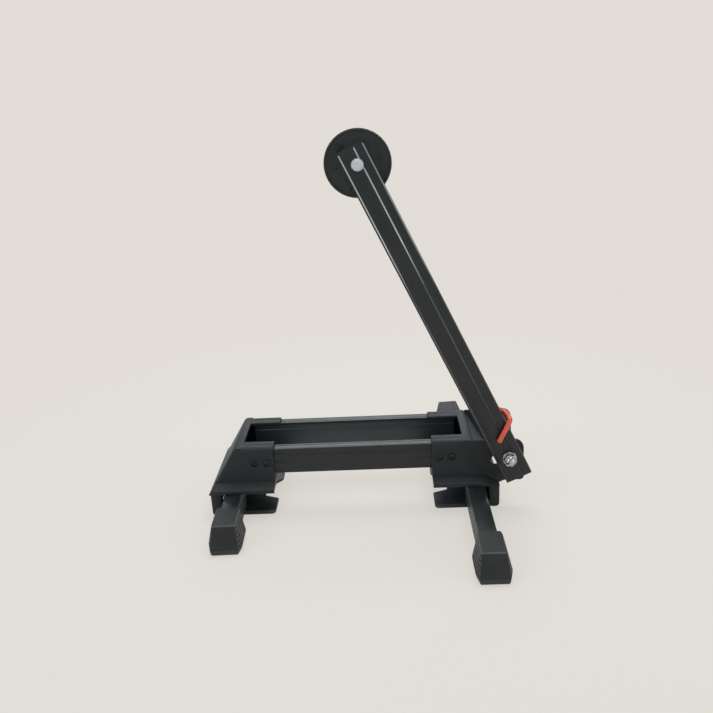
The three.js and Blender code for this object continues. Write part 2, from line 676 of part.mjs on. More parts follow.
// One level of the boot, widening from its top to the band round its sole. The nose is
// narrower than the sides, which leaves a facet at each front corner.
function bootLevel(z, back, sideIn = 0, noseIn = 0) {
  const { length, topLength, height, topHalf, lowHalf, band } = FOOT;
  const share = THREE.MathUtils.clamp((height - z) / (height - band), 0, 1);
  const between = (top, low) => THREE.MathUtils.lerp(top, low, share);
  const wide = between(topHalf, lowHalf);
  const side = wide - sideIn;
  const nose = wide - between(1, 4.3) - noseIn / 2;
  const heel = wide - between(1.2, 4) - noseIn / 2;
  const front = back - between(topLength, length) + noseIn;
  const shoulder = front + between(3, 17);
  const hip = back - 8;
  const r = 1.2;
  return {
    z,
    corners: [[heel, back, r], [-heel, back, r], [-side, hip, r], [-side, shoulder, r], [-nose, front, r],
      [nose, front, r], [side, shoulder, r], [side, hip, r]],
  };
}

// a boot of rubber with a socket for the leg's end, a band round its sole and ribbed sides
function foot(back, outboard) {
  const { height, band } = FOOT;
  const levels = [
    bootLevel(0, back, 2.8, 2.8), bootLevel(2, back, 1.6, 1.2), bootLevel(8, back), bootLevel(band, back),
    bootLevel(band + 0.8, back, 0.8, 0.5),
  ];
  for (const z of [19, 25, 31]) {
    levels.push(bootLevel(z - 1.4, back), bootLevel(z, back, 0.9), bootLevel(z + 1.4, back));
  }
  levels.push(bootLevel(height - 1.2, back), bootLevel(height, back, 1, 0.8));
  const body = stacked(levels, 1).translate(outboard, 0, 0);
  const w = LEG_WIDTH / 2 + GAP;
  return cut(body, box(-w, w, back - FOOT_SOCKET, back + 5, LEG_BOTTOM - GAP, LEG_TOP + GAP));
}

function buildLegs(parent) {
  buildLeg("near_left", LEFT_TOE, -1, -1, NEAR_LEFT_ANGLE, parent);
  buildLeg("far_left", LEFT_TOE, -1, 1, 0, parent);
  buildLeg("near_right", NEAR_RIGHT_TOE, 1, -1, 0, parent);
  buildLeg("far_right", FAR_RIGHT_TOE, 1, 1, FAR_RIGHT_ANGLE, parent);
}

// ---------------------------------------------------------------- arm
// The arm's group has its origin on the hinge axis and +Z up the arm.
function buildArm(parent) {
  const group = new THREE.Group();
  group.position.set(HINGE.x, 0, HINGE.z);
  group.rotation.y = -ARM_LEAN;
  parent.add(group);

  const armFar = ARM_NEAR_Y + PROFILE_THICKNESS;
  let arm = extrude(ribbedProfile(ARM_GROOVES), ARM_BELOW_HINGE + ARM_ABOVE_HINGE);
  arm.translate(0, ARM_NEAR_Y + PROFILE_THICKNESS / 2, -ARM_BELOW_HINGE);
  const through = [ARM_NEAR_Y - 2, armFar + 2];
  arm = cut(arm,
    rodAlongY(ARM_BORE_R, ...through, 0, 0),
    rodAlongY(PIN_R + 0.3, ...through, PIN.x, PIN.z, 20),
    rodAlongY(DISC_BOLT_R + 0.2, ...through, 0, DISC_AXLE, 20));
  mesh("arm", arm, anodised(), group);

  const plugHalf = [PROFILE_WIDTH / 2 - PROFILE_WALL - GAP, PROFILE_THICKNESS / 2 - PROFILE_WALL - GAP];
  const middle = ARM_NEAR_Y + PROFILE_THICKNESS / 2;
  const plug = (z0, z1) => box(-plugHalf[0], plugHalf[0], middle - plugHalf[1], middle + plugHalf[1], z0, z1);
  mesh("arm_top_plug", plug(ARM_ABOVE_HINGE - 9, ARM_ABOVE_HINGE - 0.5), moulded(), group);
  mesh("arm_bottom_plug", plug(-ARM_BELOW_HINGE + 0.5, -ARM_BELOW_HINGE + 9), moulded(), group);

  buildHinge(group, armFar);
  buildDisc(group, armFar);
  return group;
}

function buildHinge(group, armFar) {
  const face = ARM_NEAR_Y;
  const inner = -PLATE_OUTER_Y + PLATE_THICKNESS;
  const bolt = join(
    rodAlongY(HINGE_BOLT_R, face - 8, inner + 0.6, 0, 0, 24),
    turned([
      [0, inner + 0.5], [10, inner + 0.5], [10, inner + 1.6], [8.6, inner + 3.6], [5, inner + 5], [0, inner + 5.2],
    ], 24),
  );
  mesh("hinge_bolt", bolt, blackSteel(), group);
  const bush = ring(HINGE_BOLT_R + 0.1, ARM_BORE_R - 0.1, face - 0.1, armFar - 0.1);
  mesh("hinge_bush", bush, palePlastic(), group);
  const spacer = ring(HINGE_BOLT_R + 0.3, 11, armFar + 0.2, -PLATE_OUTER_Y - 0.2);
  mesh("hinge_spacer_washer", spacer, zinc(), group);
  mesh("hinge_face_washer", ring(HINGE_BOLT_R + 0.3, 10.6, face - 1.9, face - 0.3, 32), chrome(), group);
  const base = face - 2.1;
  const { across, hex, dome, tip } = HINGE_NUT;
  let nut = join(
    hexPrism(across, base - hex, base),
    turned([[0, base - tip], [dome * 0.5, base - tip + 0.8], [dome * 0.85, base - tip + 2.6],
      [dome, base - hex - 0.5], [dome, base - 1], [0, base - 1]], 24),
  );
  nut = cut(nut, rodAlongY(HINGE_BOLT_R + 0.15, face - 8.4, base + 1, 0, 0, 24));
  mesh("hinge_acorn_nut", nut, chrome(), group);
}

function buildDisc(group, armFar) {
  const axle = new THREE.Group();
  axle.position.z = DISC_AXLE;
  group.add(axle);

  const near = armFar + 1.6;
  const far = near + DISC_THICKNESS;
  const bore = DISC_BOLT_R + 0.25;
  const well = near + DISC_RECESS;
  const rim = DISC_R - DISC_RIM;
  let disc = turned([
    [bore, near], [DISC_BOSS_R, near], [DISC_BOSS_R + 0.6, well], [rim, well], [rim + 0.6, near + 0.4],
    [DISC_R - 1.4, near + 0.4], [DISC_R - 0.4, near + 0.9], [DISC_R, near + 2], [DISC_R, far - 4],
    [DISC_R - 1.2, far - 1.2], [DISC_R - 4, far], [15, far], [14, far - 2.2], [10, far - 2.2], [10, far - 6],
    [bore, far - 6], [bore, near],
  ], 40);
  const ribs = [];
  for (let i = 0; i < DISC_RIBS.count; i++) {
    const angle = THREE.MathUtils.degToRad(DISC_RIBS.turn + (360 / DISC_RIBS.count) * i) + ARM_LEAN;
    const half = DISC_RIBS.width / 2;
    ribs.push(box(DISC_RIBS.from, DISC_RIBS.to, near + 0.3, well + 1, -half, half).rotateY(-angle));
  }
  disc = join(disc, ...ribs);
  mesh("spoke_disc", disc, moulded(), axle);

  mesh("disc_spacer", ring(DISC_BOLT_R + 0.3, 9, armFar + 0.2, near - 0.2), zinc(), axle);
  const face = ARM_NEAR_Y - 0.3;
  const bolt = join(
    rodAlongY(DISC_BOLT_R, face - 0.5, far - 1.2, 0, 0, 20),
    turned([[0, face - 5.2], [3, face - 5], [5.7, face - 4.2], [7.7, face - 2.8], [DISC_BUTTON_R, face - 1],
      [DISC_BUTTON_R, face], [0, face]], 28),
  );
  mesh("disc_axle_bolt", bolt, palePlastic(), axle);
  mesh("disc_washer", ring(DISC_BOLT_R + 0.3, 8.2, far - 5.8, far - 4.4, 24), zinc(), axle);
  const nutBore = rodAlongY(DISC_BOLT_R + 0.15, far - 6, far + 1, 0, 0, 20);
  const nut = cut(hexPrism(13, far - 4.3, far - 0.8), nutBore);
  mesh("disc_lock_nut", nut, zinc(), axle);
}

// ---------------------------------------------------------------- lock pin
// The wire runs forward through the arm, bends up across its face, back past its edge and
// in behind it. The sleeve covers all of it outside the arm.
function wireCorners() {
  const across = new THREE.Vector3(Math.cos(ARM_LEAN), 0, Math.sin(ARM_LEAN));
  const along = new THREE.Vector3(-Math.sin(ARM_LEAN), 0, Math.cos(ARM_LEAN));
  const pin = new THREE.Vector3(HINGE.x, PIN_TIP_Y, HINGE.z)
    .addScaledVector(across, PIN.x).addScaledVector(along, PIN.z);
  const corner = pin.clone().setY(GRIP_Y);
  const rise = new THREE.Vector3(Math.cos(GRIP_ANGLE), 0, Math.sin(GRIP_ANGLE));
  const bend = corner.clone().addScaledVector(rise, GRIP_RUN);
  const behind = bend.clone().add(new THREE.Vector3(...GRIP_RETURN));
  const hook = new THREE.Vector3(Math.cos(HOOK_ANGLE), 0, Math.sin(HOOK_ANGLE));
  return { pin, corner, rise, bend, behind, hook };
}

// straight runs joined by bends that start at a given reach from each corner
function bentPath(start, corners, end) {
  const route = new THREE.CurvePath();
  let from = start;
  corners.forEach(([corner, reach], i) => {
    const next = i + 1 < corners.length ? corners[i + 1][0] : end;
    const into = corner.clone().add(from.clone().sub(corner).setLength(reach));
    const out = corner.clone().add(next.clone().sub(corner).setLength(reach));
    route.add(new THREE.LineCurve3(from, into));
    route.add(new THREE.QuadraticBezierCurve3(into, corner, out));
    from = out;
  });
  route.add(new THREE.LineCurve3(from, end));
  return route;
}

// a round bar along a route, with one normal carried along it so that it does not twist
function sweep(radius, sides, route) {
  const spine = route.getPoints(BEND_STEPS);
  const positions = [];
  let normal = new THREE.Vector3(1, 0.3, 0.2);
  spine.forEach((point, i) => {
    const before = spine[Math.max(i - 1, 0)];
    const after = spine[Math.min(i + 1, spine.length - 1)];
    const tangent = after.clone().sub(before).normalize();
    normal = normal.clone().addScaledVector(tangent, -normal.dot(tangent)).normalize();
    const binormal = new THREE.Vector3().crossVectors(tangent, normal);
    for (let k = 0; k < sides; k++) {
      const angle = (2 * Math.PI * k) / sides;
      const rim = point.clone().addScaledVector(normal, radius * Math.cos(angle));
      rim.addScaledVector(binormal, radius * Math.sin(angle));
      positions.push(rim.x, rim.y, rim.z);
    }
  });
  const index = [];
  for (let i = 0; i + 1 < spine.length; i++) {
    for (let k = 0; k < sides; k++) {
      const a = i * sides + k;
      const b = i * sides + ((k + 1) % sides);
      index.push(a, b, b + sides, a, b + sides, a + sides);
    }
  }
  return closedEnds(positions, index, sides, spine.length);
}

function buildLockPin(parent) {
  const { pin, corner, rise, bend, behind, hook } = wireCorners();
  const corners = [[corner, TIGHT_BEND], [bend, WIDE_BEND], [behind, WIDE_BEND]];
  const tip = behind.clone().addScaledVector(hook, HOOK_RUN);
  mesh("lock_pin_wire", sweep(PIN_R, 12, bentPath(pin, corners, tip)), zinc(), parent);

  const start = corner.clone().addScaledVector(rise, -GRIP_R);
  const end = tip.clone().addScaledVector(hook, 2);
  const sleeve = sweep(GRIP_R, 16, bentPath(start, corners.slice(1), end));
  const bore = sweep(PIN_R + GAP, 12, bentPath(pin, corners, tip.clone().addScaledVector(hook, GAP)));
  mesh("lock_pin_sleeve", cut(sleeve, bore), redVinyl(), parent);
}

// ---------------------------------------------------------------- assembly
const rack = new THREE.Group();
const base = new THREE.Group();
const armToeX = HINGE.x + ARM_BELOW_HINGE * Math.sin(ARM_LEAN) + (PROFILE_WIDTH / 2) * Math.cos(ARM_LEAN);
base.position.x = (SKIRT_X - armToeX) / 2;
rack.add(base);

buildRails(base);
buildRailFixings(base);
buildBrackets(base);
buildFloorPlates(base);
buildPivots(base);
buildLegs(base);
buildArm(base);
buildLockPin(base);

export default rack;
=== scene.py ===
"""Looks, light and camera for the floor bike rack. Metres, in the part's own frame."""
import math

import bpy
from mathutils import Matrix, Vector

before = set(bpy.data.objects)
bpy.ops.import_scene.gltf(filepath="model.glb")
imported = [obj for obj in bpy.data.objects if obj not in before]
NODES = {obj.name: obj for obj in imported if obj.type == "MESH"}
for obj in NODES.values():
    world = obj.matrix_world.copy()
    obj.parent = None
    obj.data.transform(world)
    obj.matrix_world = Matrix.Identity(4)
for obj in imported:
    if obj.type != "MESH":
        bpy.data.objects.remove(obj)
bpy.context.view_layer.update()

# ---------------------------------------------------------------- where things are
SHIFT_X = -0.022404  # the model's own shift of the base along X
ARM_LEAN = math.radians(25.16)
IMAGE_WIDTH = 713.0

# camera, found from the photograph
FOCAL_PX = 805.71
PITCH = 0.317737
YAW = -0.038563
ROLL = 0.052664
CAMERA_AT = (0.057689 + SHIFT_X, -1.188051, 0.620971)

BACKDROP = (0.761, 0.730, 0.679)  # linear value of the pale background

# the arm's own directions, from its hinge: across its face and up its length
HINGE_AT = (0.235400 + SHIFT_X, 0.0, 0.090)
ACROSS = (math.cos(ARM_LEAN), 0.0, math.sin(ARM_LEAN))
ALONG = (-math.sin(ARM_LEAN), 0.0, math.cos(ARM_LEAN))

# the arm's face lines, across from its upper edge, where painted highlights lie: two on its grooves, one at
# its lower edge
ARM_HALF_WIDTH = 0.020
ARM_UPPER_LINE = 0.0030
ARM_MIDDLE_LINE = 0.0260
ARM_LOWER_LINE = 0.0392
ARM_LINE_HALF = 0.00085

# heights on the legs' sides and on the feet, where painted rib highlights, painted groove shade, the sole
# band and a painted top-edge highlight lie
LEG_RIDGES = (0.0061, 0.0143, 0.0225, 0.0307, 0.0386)
LEG_GROOVES = (0.0102, 0.0184, 0.0266, 0.0348)
FOOT_RIBS = (0.0155, 0.0220, 0.0280, 0.0345, 0.0400)
FOOT_SOLE = (0.0045,)
FOOT_BROW = (0.0422,)

# where the inner faces are painted paler as fill light, and the floor plates' sloping edges are coloured
# paler
INSIDE_HALF_WIDTH = 0.0592
INSIDE_MIDDLE_Z = 0.075
INSIDE_HALF_HEIGHT = 0.027
PLATE_SLOPE_Y = 0.0686
PLATE_SLOPE_HALF = 0.0034


# ---------------------------------------------------------------- node helpers
class Shader:
    """A small builder for one node material."""

    def __init__(self, name):
        self.material = bpy.data.materials.new(name)
        self.material.use_nodes = True
        self.tree = self.material.node_tree
        self.tree.nodes.clear()
        self.out = self.tree.nodes.new("ShaderNodeOutputMaterial")
        self.bsdf = self.tree.nodes.new("ShaderNodeBsdfPrincipled")
        self.link(self.bsdf.outputs["BSDF"], self.out.inputs["Surface"])
        self.coord = self.tree.nodes.new("ShaderNodeTexCoord").outputs["Object"]

    def link(self, a, b):
        self.tree.links.new(a, b)

    def stretched(self, scale, turn_y=0.0):
        """Object coordinates, turned about Y and then scaled."""
        vector = self.coord
        if turn_y:
            turn = self.tree.nodes.new("ShaderNodeVectorRotate")
            turn.rotation_type = "Y_AXIS"
            turn.inputs["Angle"].default_value = turn_y
            self.link(vector, turn.inputs["Vector"])
            vector = turn.outputs["Vector"]
        mapping = self.tree.nodes.new("ShaderNodeMapping")
        mapping.inputs["Scale"].default_value = scale
        self.link(vector, mapping.inputs["Vector"])
        return mapping.outputs["Vector"]

    def noise(self, vector, scale, detail=4.0, rough=0.55):
        node = self.tree.nodes.new("ShaderNodeTexNoise")
        node.inputs["Scale"].default_value = scale
        node.inputs["Detail"].default_value = detail
        node.inputs["Roughness"].default_value = rough
        self.link(vector, node.inputs["Vector"])
        return node.outputs["Fac"]

    def voronoi(self, vector, scale):
        node = self.tree.nodes.new("ShaderNodeTexVoronoi")
        node.feature = "SMOOTH_F1"
        node.inputs["Scale"].default_value = scale
        self.link(vector, node.inputs["Vector"])
        return node.outputs["Distance"]

    def spread(self, value, low, high, to_low, to_high):
        node = self.tree.nodes.new("ShaderNodeMapRange")
        node.inputs["From Min"].default_value = low
        node.inputs["From Max"].default_value = high
        node.inputs["To Min"].default_value = to_low
        node.inputs["To Max"].default_value = to_high
        self.link(value, node.inputs["Value"])
        return node.outputs["Result"]

    def math(self, kind, a, b):
        node = self.tree.nodes.new("ShaderNodeMath")
        node.operation = kind
        for socket, value in zip(node.inputs, (a, b)):
            if isinstance(value, (int, float)):
                socket.default_value = value
            else:
                self.link(value, socket)
        return node.outputs["Value"]

    def colours(self, value, stops):
        node = self.tree.nodes.new("ShaderNodeValToRGB")
        ramp = node.color_ramp
        while len(ramp.elements) < len(stops):
            ramp.elements.new(0.5)
        for element, (place, colour) in zip(ramp.elements, stops):
            element.position = place
            element.color = (*colour, 1.0)
        self.link(value, node.inputs["Fac"])
        return node.outputs["Color"]

    def position(self, direction, origin=(0.0, 0.0, 0.0)):
        """Distance along a direction from an origin, in metres."""
        offset = self.tree.nodes.new("ShaderNodeVectorMath")
        offset.operation = "SUBTRACT"
        offset.inputs[1].default_value = origin
        self.link(self.coord, offset.inputs[0])
        dot = self.tree.nodes.new("ShaderNodeVectorMath")
        dot.operation = "DOT_PRODUCT"
        dot.inputs[1].default_value = direction
        self.link(offset.outputs[0], dot.inputs[0])
        return dot.outputs["Value"]

    def band(self, value, centre, half, soft):
        """1 inside a band about centre, 0 outside it."""
        away = self.math("ABSOLUTE", self.math("SUBTRACT", value, centre), 0.0)
        return self.spread(away, half - soft, half + soft, 1.0, 0.0)

    def mix(self, value, a, b):
        node = self.tree.nodes.new("ShaderNodeMix")
        node.data_type = "RGBA"
        self.link(value, node.inputs["Factor"])
        for socket, colour in ((node.inputs["A"], a), (node.inputs["B"], b)):
            if isinstance(colour, tuple):
                socket.default_value = (*colour, 1.0)
            else:
                self.link(colour, socket)
        return node.outputs["Result"]

    def worn_and_lit_edges(self, radius, low=0.04, high=0.35):
        """0 on flats, rising to 1 on sharp edges, broken up by noise."""
        bevel = self.tree.nodes.new("ShaderNodeBevel")
        bevel.samples = 4
        bevel.inputs["Radius"].default_value = radius
        geometry = self.tree.nodes.new("ShaderNodeNewGeometry")
        dot = self.tree.nodes.new("ShaderNodeVectorMath")
        dot.operation = "DOT_PRODUCT"
        self.link(bevel.outputs["Normal"], dot.inputs[0])
        self.link(geometry.outputs["Normal"], dot.inputs[1])
        edge = self.math("SUBTRACT", 1.0, dot.outputs["Value"])
        broken = self.spread(self.noise(self.coord, 180, 5), 0.35, 0.65, 0.25, 1.0)
        return self.math("MULTIPLY", self.spread(edge, low, high, 0.0, 1.0), broken)

    def bump(self, height, strength, distance, below=None):
        node = self.tree.nodes.new("ShaderNodeBump")
        node.inputs["Strength"].default_value = strength
        node.inputs["Distance"].default_value = distance
        self.link(height, node.inputs["Height"])
        if below is not None:
            self.link(below, node.inputs["Normal"])
        return node.outputs["Normal"]

    def finish(self, colour, rough, normal=None, metal=0.0, **fixed):
        self.link(colour, self.bsdf.inputs["Base Color"])
        self.link(rough, self.bsdf.inputs["Roughness"])
        if normal is not None:
            self.link(normal, self.bsdf.inputs["Normal"])
        if metal:
            self.bsdf.inputs["Metallic"].default_value = metal
        for name, value in fixed.items():
            self.bsdf.inputs[name.replace("_", " ")].default_value = value
        return self.material


# ---------------------------------------------------------------- materials
def anodised(name, scale, turn_y=0.0, painted_highlight=None, shine=0.30, dark=None, painted_fill=None):
    """Black anodised aluminium with fine drawing lines along the profile; optionally painted highlights,
    painted groove shade, and inner faces painted paler as fill light.
    """
    s = Shader(name)
    lines = s.noise(s.stretched(scale, turn_y), 1.0, 6.0, 0.65)
    cloud = s.noise(s.coord, 14, 3)
    tint = s.colours(cloud, [(0.3, (0.0120, 0.0155, 0.0155)), (0.7, (0.0170, 0.0205, 0.0205))])
    colour = s.mix(s.spread(lines, 0.35, 0.7, 0.0, 0.35), tint, (0.034, 0.038, 0.038))
    colour = s.mix(s.worn_and_lit_edges(0.0007), colour, (0.13, 0.135, 0.135))
    # painted fill light: inner faces made paler where they lie in shade
    if painted_fill:
        colour = s.mix(s.math("MULTIPLY", painted_fill(s), 0.8), colour, (0.050, 0.060, 0.066))
    patches = s.spread(cloud, 0.3, 0.7, -0.03, 0.04)
    rough = s.math("ADD", s.spread(lines, 0.3, 0.7, shine, shine + 0.12), patches)
    if painted_highlight is None:
        return s.finish(colour, rough, s.bump(lines, 0.16, 0.0002), metal=0.35, Specular_IOR_Level=0.55)
    # painted highlights: near-white, more metallic lines where light catches the grooves and ridges
    mask = s.math("MULTIPLY", painted_highlight(s), s.spread(lines, 0.3, 0.6, 0.75, 1.0))
    colour = s.mix(mask, colour, (0.62, 0.65, 0.65))
    # painted shade: groove bottoms made near-black and rougher
    if dark is not None:
        painted_shade_mask = dark(s)
        colour = s.mix(painted_shade_mask, colour, (0.003, 0.0035, 0.0035))
        rough = s.math("ADD", rough, s.math("MULTIPLY", painted_shade_mask, 0.4))
    s.link(s.spread(mask, 0.0, 1.0, 0.35, 0.95), s.bsdf.inputs["Metallic"])
    s.finish(colour, rough, s.bump(lines, 0.16, 0.0002), Specular_IOR_Level=0.55)
    return s.material


def arm_painted_highlights(s):
    """Painted highlight lines down the arm's face grooves, fading towards the hinge, and a fine painted
    highlight at its lower edge.
    """
    across = s.position(ACROSS, HINGE_AT)
    along = s.position(ALONG, HINGE_AT)
    upper = s.band(across, ARM_UPPER_LINE - ARM_HALF_WIDTH, ARM_LINE_HALF, 0.0003)
    middle = s.band(across, ARM_MIDDLE_LINE - ARM_HALF_WIDTH, ARM_LINE_HALF, 0.0003)
    lower = s.math("MULTIPLY", s.band(across, ARM_LOWER_LINE - ARM_HALF_WIDTH, 0.0008, 0.0003), 0.55)
    lines = s.math("MAXIMUM", s.math("MAXIMUM", upper, middle), lower)
    fade = s.math("MULTIPLY", s.spread(along, 0.29, 0.37, 0.07, 1.0), s.spread(along, 0.02, 0.20, 0.4, 1.0))
    return s.math("MULTIPLY", s.math("MULTIPLY", lines, fade), s.spread(along, 0.5050, 0.5062, 1.0, 0.0))


def side_facing(s, low=0.15, high=0.35):
    """1 on upright faces, 0 on level ones."""
    parts = s.tree.nodes.new("ShaderNodeSeparateXYZ")
    geometry = s.tree.nodes.new("ShaderNodeNewGeometry")
    s.link(geometry.outputs["Normal"], parts.inputs[0])
    return s.spread(s.math("ABSOLUTE", parts.outputs["Z"], 0.0), low, high, 1.0, 0.0)


def stripes(s, levels, half, soft=0.0004):
    """Level bands at the given heights."""
    height = s.position((0.0, 0.0, 1.0))
    bands = s.band(height, levels[0], half, soft)
    for level in levels[1:]:
        bands = s.math("MAXIMUM", bands, s.band(height, level, half, soft))
    return bands


def leg_rib_highlights(s):
    """Painted highlights on the ridges between the grooves of the legs' upright sides."""
    ridges = stripes(s, LEG_RIDGES, 0.0020)
    return s.math("MULTIPLY", s.math("MULTIPLY", ridges, side_facing(s)), 0.17)


def leg_groove_shade(s):
    """Painted shade in the bottoms of the grooves in the legs' upright sides."""
    grooves = stripes(s, LEG_GROOVES, 0.0016)
    return s.math("MULTIPLY", grooves, side_facing(s, 0.6, 0.9))


def inner_painted_fill(s):
    """The inside, between the rails' outer faces and below the brackets' lips, painted paler as fill light.
    """
    inside = s.band(s.position((0.0, 1.0, 0.0)), 0.0, INSIDE_HALF_WIDTH, 0.0004)
    low = s.band(s.position((0.0, 0.0, 1.0)), INSIDE_MIDDLE_Z, INSIDE_HALF_HEIGHT, 0.001)
    return s.math("MULTIPLY", inside, low)


def plate_slope_band(s):
    """The floor plates' sloping long edges, coloured paler."""
    aside = s.math("ABSOLUTE", s.position((0.0, 1.0, 0.0)), 0.0)
    return s.band(aside, PLATE_SLOPE_Y, PLATE_SLOPE_HALF, 0.0006)


def moulded(name, dark, light, rough_low, rough_high, grain=0.22, sheen=0.5, paler_band=None, painted_fill=None):
    """Black moulded plastic: fine spark texture, uneven sheen, edges worn paler, and optionally inner faces
    painted paler as fill light and a paler band on the plates' slopes.
    """
    s = Shader(name)
    cells = s.voronoi(s.coord, 1500)
    speck = s.noise(s.coord, 900, 3)
    cloud = s.noise(s.coord, 9, 4)
    tint = s.colours(cloud, [(0.3, dark), (0.7, light)])
    paler = tuple(min(1.0, channel * 2.6 + 0.012) for channel in light)
    wear_and_fill_colour = s.mix(s.spread(s.worn_and_lit_edges(0.0011), 0, 1, 0, 0.7), tint, paler)
    # painted fill light: inner faces made paler where they lie in shade
    if painted_fill:
        wear_and_fill_colour = s.mix(s.math("MULTIPLY", painted_fill(s), 0.8), wear_and_fill_colour, (0.055, 0.064, 0.072))
    # paler band on the floor plates' sloping long edges
    if paler_band:
        wear_and_fill_colour = s.mix(s.math("MULTIPLY", paler_band(s), 0.8), wear_and_fill_colour, (0.075, 0.083, 0.087))
    fine = s.spread(speck, 0.3, 0.7, -0.03, 0.03)
    rough = s.math("ADD", s.spread(cloud, 0.3, 0.7, rough_low, rough_high), fine)
    normal = s.bump(speck, grain * 0.5, 0.00012, s.bump(cells, grain, 0.0001))
    return s.finish(wear_and_fill_colour, rough, normal, Specular_IOR_Level=sheen)


def rubber():
    """Matt black rubber flecked with dust, with painted highlights on the ribs along its upright sides and
    along its top front edge.
    """
    s = Shader("matt black rubber")
    speck = s.noise(s.coord, 700, 5)
    cloud = s.noise(s.coord, 22, 4)
    dust = s.spread(s.noise(s.coord, 60, 6, 0.7), 0.52, 0.8, 0.0, 0.4)
    tint = s.colours(cloud, [(0.3, (0.0105, 0.0122, 0.0122)), (0.7, (0.0155, 0.0175, 0.0175))])
    colour = s.mix(dust, tint, (0.040, 0.041, 0.039))
    parts = s.tree.nodes.new("ShaderNodeSeparateXYZ")
    geometry = s.tree.nodes.new("ShaderNodeNewGeometry")
    s.link(geometry.outputs["Normal"], parts.inputs[0])
    flank = s.spread(s.math("ABSOLUTE", parts.outputs["X"], 0.0), 0.7, 0.85, 0.0, 1.0)
    # painted highlights: pale bands on the rib crests of the feet's flanks
    ribs = s.math("MULTIPLY", stripes(s, FOOT_RIBS, 0.0014), flank)
    colour = s.mix(s.math("MULTIPLY", ribs, 0.75), colour, (0.075, 0.080, 0.078))
    sole = s.math("MULTIPLY", stripes(s, FOOT_SOLE, 0.0042), side_facing(s, 0.5, 0.7))
    colour = s.mix(s.math("MULTIPLY", sole, 0.45), colour, (0.045, 0.049, 0.048))
    # painted highlight along the feet's sharp edges
    crest = s.math("MULTIPLY", s.worn_and_lit_edges(0.0009), 0.6)
    colour = s.mix(crest, colour, (0.11, 0.115, 0.115))
    # painted highlight: a pale line along the feet's top front edge
    brow = s.math("MULTIPLY", stripes(s, FOOT_BROW, 0.0009), side_facing(s, 0.75, 0.95))
    colour = s.mix(s.math("MULTIPLY", brow, 0.45), colour, (0.16, 0.17, 0.17))
    rough = s.spread(cloud, 0.3, 0.7, 0.52, 0.68)
    return s.finish(colour, rough, s.bump(speck, 0.3, 0.0002), Specular_IOR_Level=0.42)


def metal(name, dark, light, rough_low, rough_high, scratch=0.1, metallic=1.0):
    """Turned or plated metal with fine swirls."""
    s = Shader(name)
    swirl = s.noise(s.stretched((300, 300, 1800)), 1.0, 5)
    cloud = s.noise(s.coord, 120, 4)
    tint = s.colours(cloud, [(0.3, dark), (0.7, light)])
    fine = s.spread(swirl, 0.3, 0.7, -0.02, 0.03)
    rough = s.math("ADD", s.spread(cloud, 0.3, 0.7, rough_low, rough_high), fine)
    return s.finish(tint, rough, s.bump(swirl, scratch, 0.00006), metal=metallic)


def red_vinyl():
    s = Shader("red vinyl dip")
    cloud = s.noise(s.coord, 90, 4)
    ripple = s.noise(s.stretched((60, 60, 420)), 1.0, 3)
    tint = s.colours(cloud, [(0.3, (0.60, 0.052, 0.022)), (0.7, (0.76, 0.085, 0.034))])
    rough = s.spread(cloud, 0.3, 0.7, 0.24, 0.34)
    return s.finish(tint, rough, s.bump(ripple, 0.12, 0.0003), Specular_IOR_Level=0.6, Coat_Weight=0.6)


def pale_plastic():
    s = Shader("pale smooth plastic")
    cloud = s.noise(s.coord, 60, 4)
    speck = s.noise(s.coord, 800, 3)
    tint = s.colours(cloud, [(0.3, (0.50, 0.53, 0.54)), (0.7, (0.60, 0.63, 0.64))])
    rough = s.spread(cloud, 0.3, 0.7, 0.24, 0.34)
    return s.finish(tint, rough, s.bump(speck, 0.05, 0.0001), Specular_IOR_Level=0.5)


RAIL = anodised("black anodised rail", (6, 900, 900), painted_fill=inner_painted_fill)
LEG = anodised("black anodised leg", (900, 6, 900), 0.0, leg_rib_highlights, dark=leg_groove_shade)
ARM = anodised("black anodised arm", (900, 900, 6), ARM_LEAN, arm_painted_highlights)
BRACKET = moulded(
    "moulded bracket",
    (0.0108, 0.0140, 0.0156),
    (0.0150, 0.0186, 0.0204),
    0.54,
    0.64,
    sheen=0.38,
    painted_fill=inner_painted_fill,
)
PLATE = moulded(
    "moulded floor plate",
    (0.013, 0.016, 0.017),
    (0.019, 0.022, 0.023),
    0.42,
    0.54,
    paler_band=plate_slope_band,
)
DISC = moulded("moulded disc", (0.0098, 0.0124, 0.0134), (0.0142, 0.0170, 0.0182), 0.50, 0.60)
RUBBER = rubber()
BLACK_STEEL = metal(
    "black oxide steel", (0.012, 0.013, 0.013), (0.030, 0.032, 0.032), 0.15, 0.24, metallic=0.5
)
CHROME = metal("polished chrome", (0.42, 0.43, 0.44), (0.54, 0.55, 0.56), 0.08, 0.15, 0.04)
ZINC = metal("zinc plated steel", (0.46, 0.47, 0.49), (0.60, 0.61, 0.62), 0.26, 0.36)
RED = red_vinyl()
PALE = pale_plastic()


def material_for(name):
    """The material of a CAD piece, by its name."""
    if name.endswith("_rail"):
        return RAIL
    if name.endswith("_leg"):
        return LEG
    if name == "arm":
        return ARM
    if name.endswith("_foot"):
        return RUBBER
    if name.endswith("_end_bracket"):
        return BRACKET
    if name.endswith("_floor_plate") or name.startswith("arm_"):
        return PLATE
    if name == "spoke_disc":
        return DISC
    if "screw" in name or name.endswith("_pivot_bolt") or name == "hinge_bolt":
        return BLACK_STEEL
    if name in ("hinge_acorn_nut", "hinge_face_washer"):
        return CHROME
    if name == "lock_pin_sleeve":
        return RED
    if name in ("disc_axle_bolt", "hinge_bush"):
        return PALE
    return ZINC


